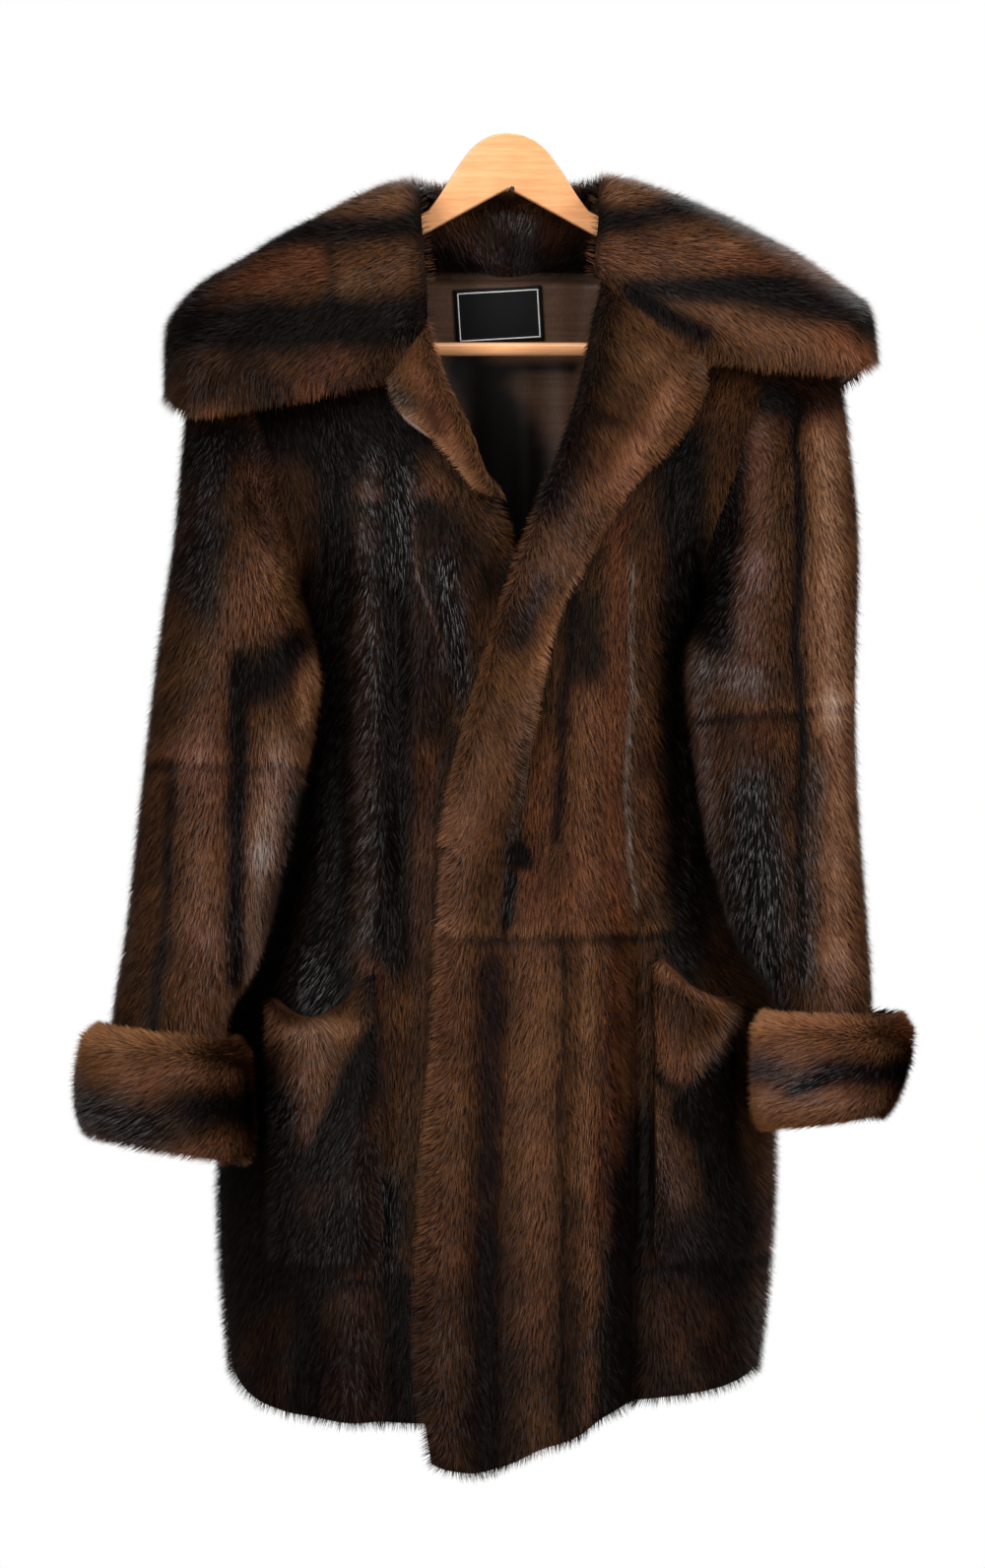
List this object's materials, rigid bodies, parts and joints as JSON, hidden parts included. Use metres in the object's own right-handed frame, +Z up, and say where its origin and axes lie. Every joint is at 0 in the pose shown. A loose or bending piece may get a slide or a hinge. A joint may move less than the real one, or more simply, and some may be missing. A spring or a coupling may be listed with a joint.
{
  "type": "fur coat on a wooden hanger",
  "caption": "Long-haired brown mink coat with a wide cape collar, lapels, gaping patch pockets and turned-back cuffs, hung on a plain wooden clothes hanger",
  "frame": {"origin": "the top of the hanger's crown, where a rail's hook or a hand holds it", "axes": "+Z up, the coat's length; -Y the coat's front, towards the viewer; +X the viewer's right, the wearer's left"},
  "size_m": [0.6291, 0.2172, 1.0148],
  "materials": {
    "fur": "glossy brown mink pelt and pile",
    "satin": "brown satin lining",
    "label": "plain black woven label",
    "wood": "clear-lacquered pale wood"
  },
  "bodies": {
    "root": {"back": "fur", "front_left": "fur", "front_right": "fur", "sleeve_left": "fur", "sleeve_right": "fur", "cuff_left": "fur", "cuff_right": "fur", "collar": "fur", "collar_stand": "fur", "lapel_left": "fur", "lapel_right": "fur", "pocket_left": "fur", "pocket_right": "fur", "lining": "satin", "label": "label", "hanger_body": "wood", "hanger_bar": "wood"}
  },
  "joints": []
}
